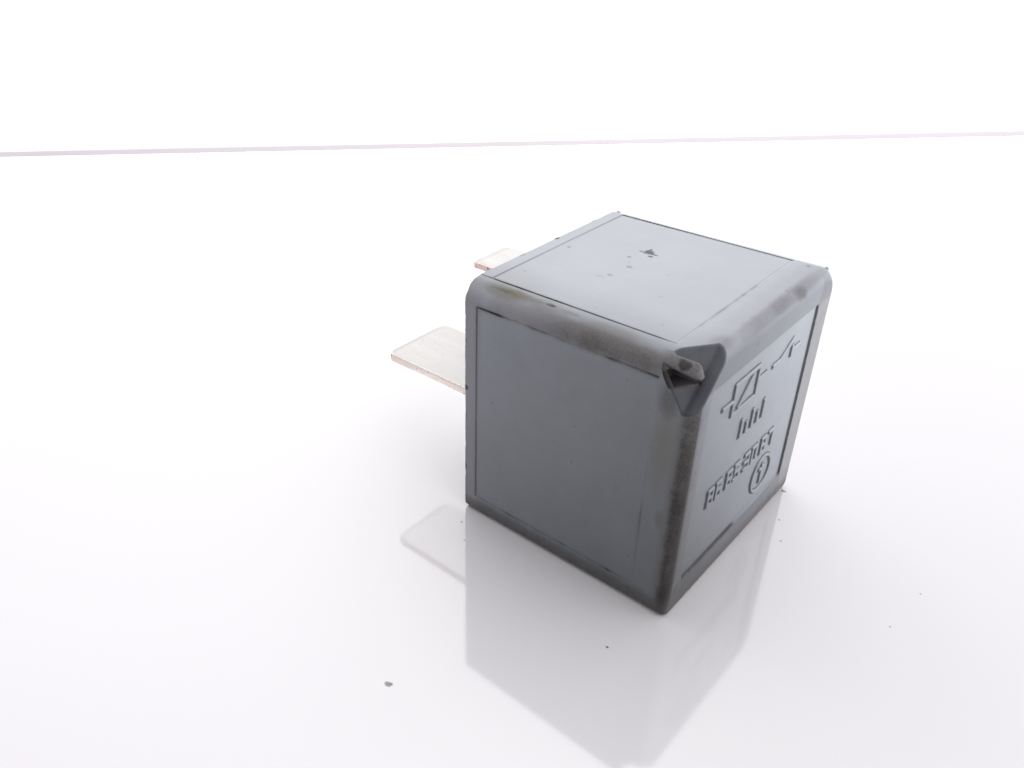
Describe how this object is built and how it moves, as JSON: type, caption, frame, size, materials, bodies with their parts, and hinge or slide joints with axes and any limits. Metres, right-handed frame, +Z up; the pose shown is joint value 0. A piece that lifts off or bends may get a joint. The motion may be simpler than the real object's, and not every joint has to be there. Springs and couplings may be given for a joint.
{
  "type": "automotive relay",
  "caption": "Plug-in power relay: grey moulded square cover with a recessed corner, flat tinned blades at one end, pivoting armature and contacts inside.",
  "frame": {"origin": "on the side it lies on, under the middle of its whole length with the blades", "axes": "+Z up from the side it lies on; +X along the relay's own axis towards the closed end of the cover, the blades point to -X; +Y across, away from the side with the recessed corner"},
  "size_m": [0.0392, 0.028, 0.028],
  "materials": {
    "cover_plastic": "satin moulded grey nylon, slightly worn and stained",
    "base_plastic": "satin moulded, glass filled",
    "tinned_copper": "tin plated copper, bare copper on the cut edges",
    "magnet_steel": "zinc plated soft steel",
    "bobbin_plastic": "satin moulded, natural colour",
    "enamelled_copper": "enamelled wire, glossy",
    "yellow_tape": "polyester film tape",
    "contact_silver": "silver alloy, lightly burnished",
    "spring_bronze": "rolled spring bronze",
    "rivet_brass": "headed rivets, satin",
    "copper_braid": "bare braided copper",
    "resistor_coat": "dipped lacquer",
    "tinned_wire": "tinned wire"
  },
  "bodies": {
    "housing": {"cover": "cover_plastic", "base_plate": "base_plastic", "terminal_30": "tinned_copper", "terminal_87": "tinned_copper", "terminal_85": "tinned_copper", "terminal_86": "tinned_copper", "yoke": "magnet_steel", "core": "magnet_steel", "coil_bobbin": "bobbin_plastic", "coil_winding": "enamelled_copper", "coil_tape": "yellow_tape", "coil_lead_start": "enamelled_copper", "coil_lead_finish": "enamelled_copper", "fixed_contact": "contact_silver", "return_spring": "spring_bronze", "yoke_rivets": "rivet_brass", "shunt_braid": "copper_braid", "resistor_body": "resistor_coat", "resistor_leads": "tinned_wire"},
    "armature": {"armature": "magnet_steel", "contact_spring": "spring_bronze", "moving_contact": "contact_silver", "armature_rivets": "rivet_brass"}
  },
  "joints": [
    {"name": "armature_pivot", "type": "hinge", "parent": "housing", "child": "armature", "pos_m": [0.0136, -0.0095, 0.014], "axis": [0, 0, 1], "range_deg": [0, 4], "stiffness_Nm_per_rad": 0.03, "springref_deg": -6.88, "deforming": ["return_spring", "shunt_braid"]}
  ]
}
